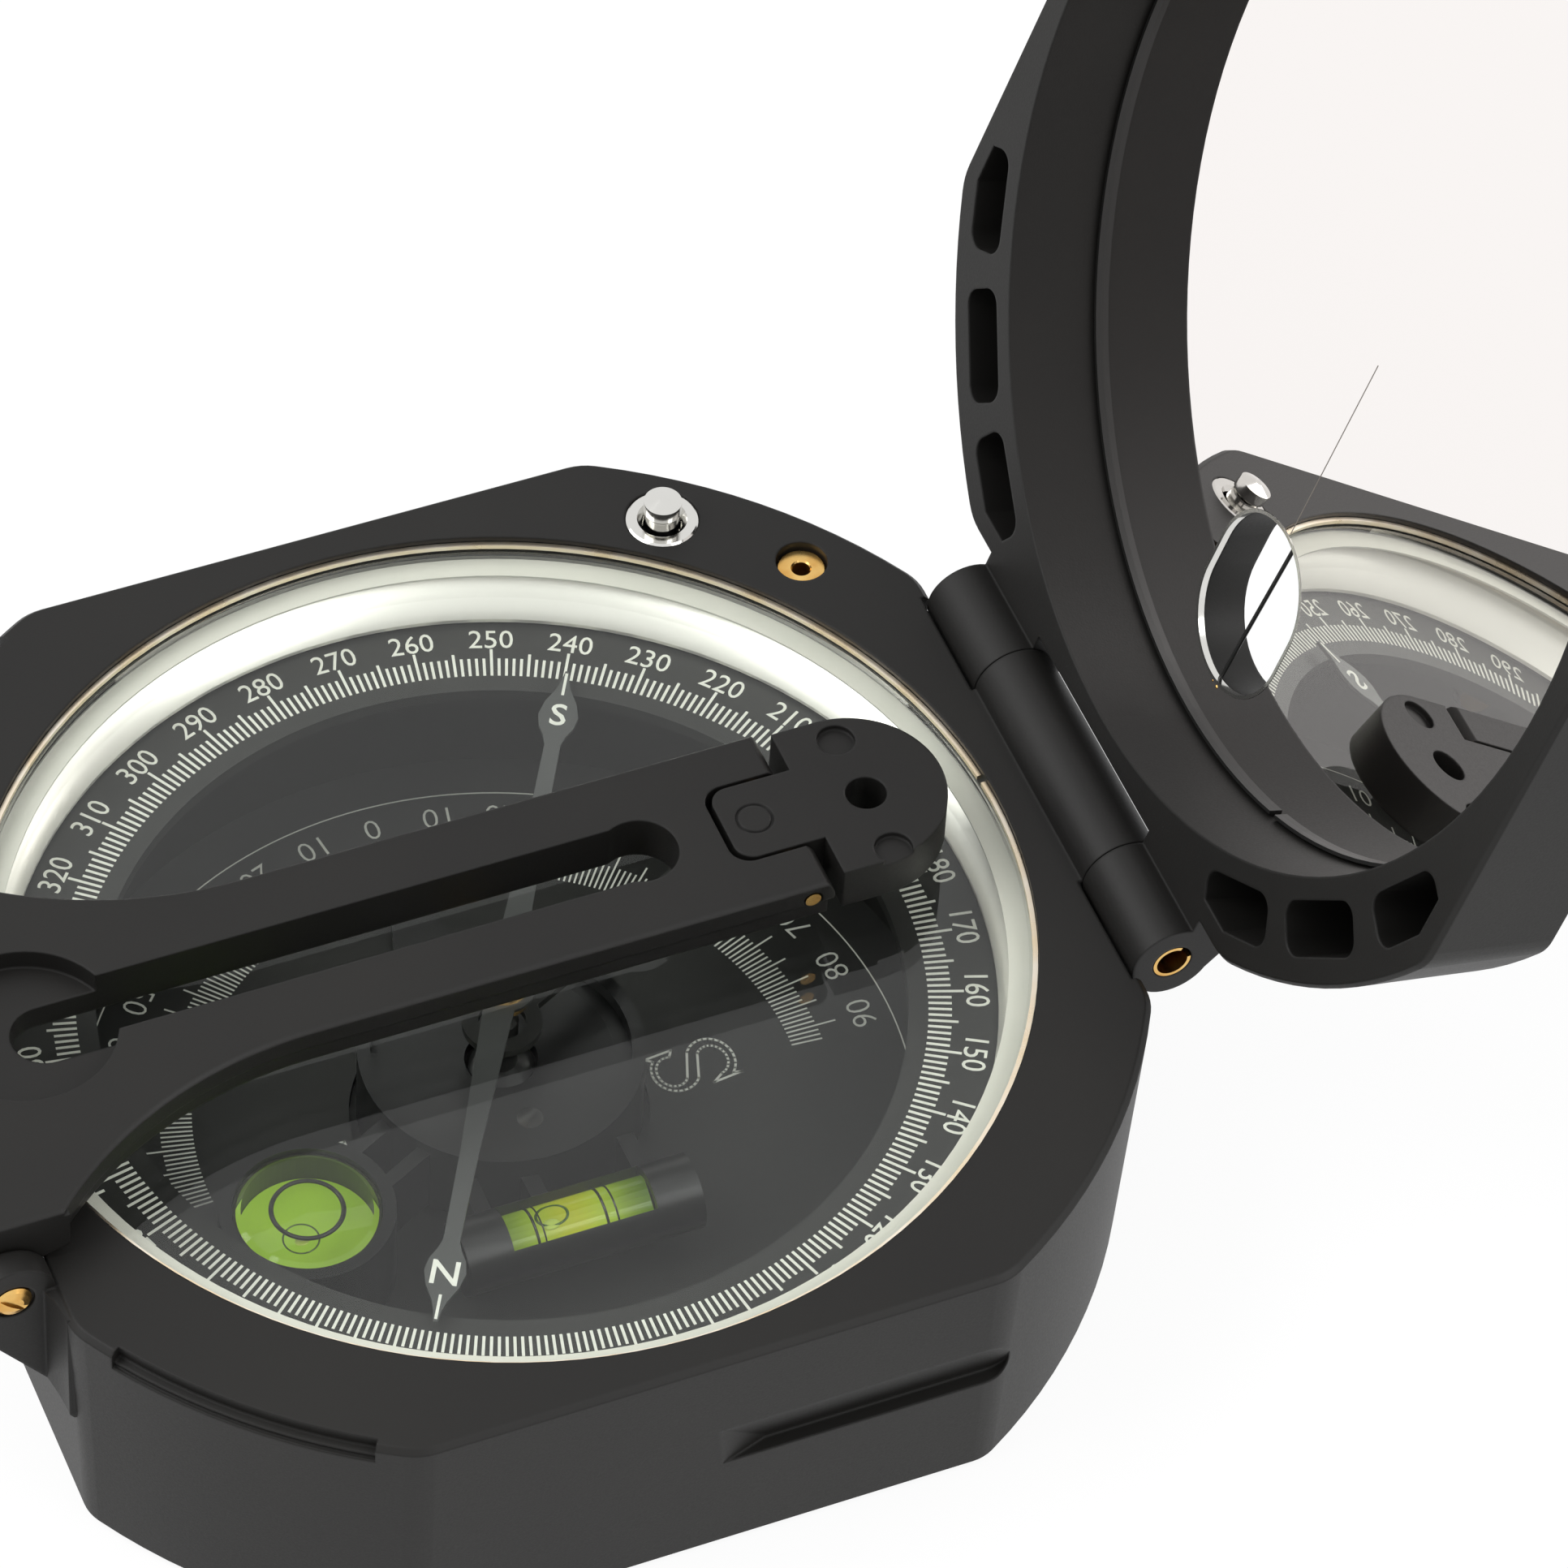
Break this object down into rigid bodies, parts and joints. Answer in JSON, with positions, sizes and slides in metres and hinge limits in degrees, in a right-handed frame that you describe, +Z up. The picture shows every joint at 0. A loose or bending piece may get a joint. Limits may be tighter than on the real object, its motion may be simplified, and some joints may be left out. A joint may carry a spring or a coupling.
{
  "type": "pocket survey compass",
  "caption": "Pocket survey compass: glazed black case with a turning needle and clinometer, mirror lid on a hinge, folding slotted sight arm and peep leaf.",
  "frame": {"origin": "on the dial pivot axis, at the flat underside of the case", "axes": "+X from the dial to the lid hinge, +Y to the side that holds the lock pin, +Z up through the glass"},
  "size_m": [0.1188, 0.0758, 0.0951],
  "materials": {
    "black_shell": "fine matt black coating on cast aluminium",
    "black_dial": "matt black",
    "black_plastic": "semi gloss black",
    "silver_liner": "polished",
    "gasket": "matt",
    "clear_glass": "polished",
    "mirror": "silvered",
    "brass": "polished",
    "nickel": "polished",
    "steel": "satin",
    "black_wire": "blackened",
    "green_vial": "clear, with green liquid"
  },
  "bodies": {
    "case": {"base_case": "black_shell", "dial_plate": "black_dial", "bezel_liner": "silver_liner", "crystal_gasket": "gasket", "crystal": "clear_glass", "snap_ring": "brass", "pivot_post": "steel", "pin_collar": "nickel", "lever_axle": "steel", "key_bush": "brass", "lid_hinge_pin": "brass", "arm_hinge_pin_near": "brass", "arm_hinge_pin_far": "brass"},
    "ring": {"azimuth_ring": "black_dial"},
    "needle": {"needle_blade": "steel", "needle_cap": "brass", "needle_balance": "brass"},
    "lock_pin": {"lock_pin": "nickel"},
    "lifter": {"lifter_lever": "black_dial"},
    "setting_screw": {"setting_screw": "brass"},
    "clinometer": {"clino_frame": "black_plastic", "tube_vial": "green_vial", "round_vial": "green_vial", "clino_drive_pin": "steel", "clino_knob": "black_shell"},
    "lid": {"lid_shell": "black_shell", "mirror_pad": "gasket", "mirror_glass": "mirror", "mirror_ring": "black_wire", "window_rim": "nickel", "hairline": "black_wire"},
    "arm": {"sight_arm": "black_shell", "peep_pin": "brass"},
    "peep": {"peep_leaf": "black_shell"}
  },
  "joints": [
    {"name": "lid_hinge", "type": "hinge", "parent": "case", "child": "lid", "pos_m": [0.0406, 0, 0.02075], "axis": [0, 1, 0], "range_deg": [-108.6, 71.4]},
    {"name": "arm_hinge", "type": "hinge", "parent": "case", "child": "arm", "pos_m": [-0.0401, 0, 0.0205], "axis": [0, -1, 0], "range_deg": [0, 180]},
    {"name": "peep_hinge", "type": "hinge", "parent": "arm", "child": "peep", "pos_m": [0.01905, 0, 0.02425], "axis": [0, -1, 0], "range_deg": [0, 90]},
    {"name": "needle_spin", "type": "hinge", "parent": "case", "child": "needle", "pos_m": [0, 0, 0.01505], "axis": [0, 0, 1], "continuous": true},
    {"name": "clinometer_turn", "type": "hinge", "parent": "case", "child": "clinometer", "pos_m": [0, 0, 0.0065], "axis": [0, 0, 1], "range_deg": [-88, 88]},
    {"name": "ring_turn", "type": "hinge", "parent": "case", "child": "ring", "pos_m": [0, 0, 0.0143], "axis": [0, 0, 1], "range_deg": [-30, 30]},
    {"name": "screw_turn", "type": "hinge", "parent": "case", "child": "setting_screw", "pos_m": [0, 0, 0.01145], "axis": [-0.3256, 0.9455, 0], "range_deg": [-750, 750]},
    {"name": "lock_pin_slide", "type": "slide", "parent": "case", "child": "lock_pin", "axis": [0, 0, 1], "range_m": [-0.0021, 0.0014]},
    {"name": "lifter_tilt", "type": "hinge", "parent": "case", "child": "lifter", "pos_m": [0.01994, 0.02617, 0.0114], "axis": [-0.7955, 0.606, 0], "range_deg": [-0.62, 0.95]}
  ],
  "couplings": [
    {"joint": "screw_turn", "follows": "ring_turn", "ratio": -24.46},
    {"joint": "lock_pin_slide", "follows": "lid_hinge", "m_per_rad": 0.0011079},
    {"joint": "lifter_tilt", "follows": "lid_hinge", "ratio": -0.008287}
  ]
}
